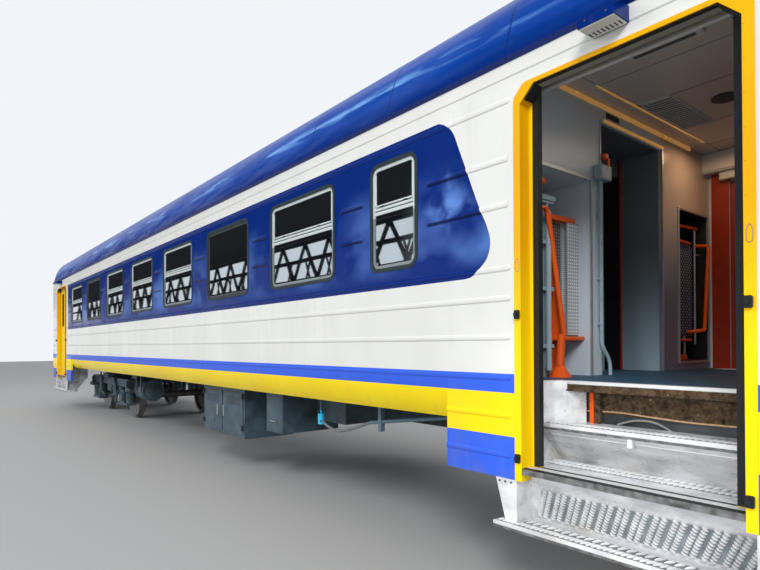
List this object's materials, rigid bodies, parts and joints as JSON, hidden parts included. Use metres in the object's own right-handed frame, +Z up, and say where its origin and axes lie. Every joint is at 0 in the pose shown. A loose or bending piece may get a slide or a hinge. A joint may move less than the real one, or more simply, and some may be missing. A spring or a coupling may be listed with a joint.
{
  "type": "driving trailer coach of an electric train",
  "caption": "Hollow railway driving trailer coach with sliding door pairs, step wells, windows, cab, saloon seats and two swivelling four-wheel bogies",
  "frame": {"origin": "bottom centre of the coach, on the plane under the wheel flanges", "axes": "+X forward to the cab, +Y to the coach's left side, +Z up"},
  "size_m": [22.62, 3.78, 4.2879],
  "materials": {
    "body_blue": "gloss",
    "body_yellow": "gloss",
    "body_white": "gloss",
    "lining": "satin",
    "floor_cover": "matt",
    "underframe_grey": "satin",
    "box_grey": "satin",
    "wheel_steel": "worn",
    "step_aluminium": "brushed",
    "gasket_rubber": "matt",
    "frame_aluminium": "satin",
    "pane": "clear",
    "lamp_lens": "gloss",
    "seat_fabric": "woven",
    "leaf_yellow": "gloss"
  },
  "bodies": {
    "coach": {"air_reservoirs": "underframe_grey", "battery_box": "box_grey", "brake_hose": "gasket_rubber", "bridge_plate": "underframe_grey", "cab_bulkhead": "lining", "cab_front": "body_white", "cab_glass": "pane", "cantrails": "body_white", "ceiling": "lining", "coupler_front": "underframe_grey", "coupler_rear": "underframe_grey", "door_heads": "body_yellow", "door_lamps": "lamp_lens", "door_posts": "body_yellow", "door_rails": "underframe_grey", "door_skirts": "body_yellow", "driver_desk": "lining", "equipment_boxes": "underframe_grey", "floor": "floor_cover", "front_partition": "lining", "gangway": "gasket_rubber", "head_lamps": "lamp_lens", "hose_fittings": "underframe_grey", "plough": "body_white", "pocket_linings": "lining", "rear_end_wall": "body_white", "rear_partition": "lining", "roof_coves": "body_blue", "roof_crown": "body_blue", "seats": "seat_fabric", "side_lower": "body_yellow", "step_side_plates": "step_aluminium", "step_treads": "step_aluminium", "underframe": "underframe_grey", "vestibule_recesses": "lining", "wheelchair_lift": "box_grey", "window_frames": "frame_aluminium", "window_gaskets": "gasket_rubber", "window_glass": "pane", "window_headers": "body_blue", "window_piers": "body_blue"},
    "door_leaf_front_right_aft": {"door_leaf_front_right_aft": "leaf_yellow"},
    "door_leaf_front_right_fore": {"door_leaf_front_right_fore": "leaf_yellow"},
    "door_leaf_front_left_aft": {"door_leaf_front_left_aft": "leaf_yellow"},
    "door_leaf_front_left_fore": {"door_leaf_front_left_fore": "leaf_yellow"},
    "door_leaf_rear_right_aft": {"door_leaf_rear_right_aft": "leaf_yellow"},
    "door_leaf_rear_right_fore": {"door_leaf_rear_right_fore": "leaf_yellow"},
    "door_leaf_rear_left_aft": {"door_leaf_rear_left_aft": "leaf_yellow"},
    "door_leaf_rear_left_fore": {"door_leaf_rear_left_fore": "leaf_yellow"},
    "bogie_front": {"bogie_front_axle_boxes": "box_grey", "bogie_front_frame": "box_grey"},
    "wheelset_front_aft": {"wheelset_front_aft": "wheel_steel"},
    "wheelset_front_fore": {"wheelset_front_fore": "wheel_steel"},
    "bogie_rear": {"bogie_rear_axle_boxes": "box_grey", "bogie_rear_frame": "box_grey"},
    "wheelset_rear_aft": {"wheelset_rear_aft": "wheel_steel"},
    "wheelset_rear_fore": {"wheelset_rear_fore": "wheel_steel"},
    "gangway_door": {"gangway_door": "leaf_yellow"}
  },
  "joints": [
    {"name": "slide_front_right_aft", "type": "slide", "parent": "coach", "child": "door_leaf_front_right_aft", "axis": [1, 0, 0], "range_m": [0, 0.545]},
    {"name": "slide_front_right_fore", "type": "slide", "parent": "coach", "child": "door_leaf_front_right_fore", "axis": [1, 0, 0], "range_m": [-0.545, 0]},
    {"name": "slide_front_left_aft", "type": "slide", "parent": "coach", "child": "door_leaf_front_left_aft", "axis": [1, 0, 0], "range_m": [-0.545, 0]},
    {"name": "slide_front_left_fore", "type": "slide", "parent": "coach", "child": "door_leaf_front_left_fore", "axis": [1, 0, 0], "range_m": [0, 0.545]},
    {"name": "slide_rear_right_aft", "type": "slide", "parent": "coach", "child": "door_leaf_rear_right_aft", "axis": [1, 0, 0], "range_m": [-0.545, 0]},
    {"name": "slide_rear_right_fore", "type": "slide", "parent": "coach", "child": "door_leaf_rear_right_fore", "axis": [1, 0, 0], "range_m": [0, 0.545]},
    {"name": "slide_rear_left_aft", "type": "slide", "parent": "coach", "child": "door_leaf_rear_left_aft", "axis": [1, 0, 0], "range_m": [-0.545, 0]},
    {"name": "slide_rear_left_fore", "type": "slide", "parent": "coach", "child": "door_leaf_rear_left_fore", "axis": [1, 0, 0], "range_m": [0, 0.545]},
    {"name": "swivel_front", "type": "hinge", "parent": "coach", "child": "bogie_front", "pos_m": [7.05, 0, 1.108], "axis": [0, 0, 1], "range_deg": [-3, 3]},
    {"name": "roll_front_aft", "type": "hinge", "parent": "bogie_front", "child": "wheelset_front_aft", "pos_m": [5.85, 0, 0.503], "axis": [0, 1, 0], "continuous": true},
    {"name": "roll_front_fore", "type": "hinge", "parent": "bogie_front", "child": "wheelset_front_fore", "pos_m": [8.25, 0, 0.503], "axis": [0, 1, 0], "continuous": true},
    {"name": "swivel_rear", "type": "hinge", "parent": "coach", "child": "bogie_rear", "pos_m": [-7.2, 0, 1.108], "axis": [0, 0, 1], "range_deg": [-3, 3]},
    {"name": "roll_rear_aft", "type": "hinge", "parent": "bogie_rear", "child": "wheelset_rear_aft", "pos_m": [-8.4, 0, 0.503], "axis": [0, 1, 0], "continuous": true},
    {"name": "roll_rear_fore", "type": "hinge", "parent": "bogie_rear", "child": "wheelset_rear_fore", "pos_m": [-6, 0, 0.503], "axis": [0, 1, 0], "continuous": true},
    {"name": "swing_gangway_door", "type": "hinge", "parent": "coach", "child": "gangway_door", "pos_m": [-10.644, 0.408, 2.4], "axis": [0, 0, 1], "range_deg": [0, 90]}
  ],
  "couplings": [
    {"joint": "slide_front_right_fore", "follows": "slide_front_right_aft", "ratio": -1},
    {"joint": "slide_front_left_fore", "follows": "slide_front_left_aft", "ratio": -1},
    {"joint": "slide_rear_right_fore", "follows": "slide_rear_right_aft", "ratio": -1},
    {"joint": "slide_rear_left_fore", "follows": "slide_rear_left_aft", "ratio": -1}
  ]
}
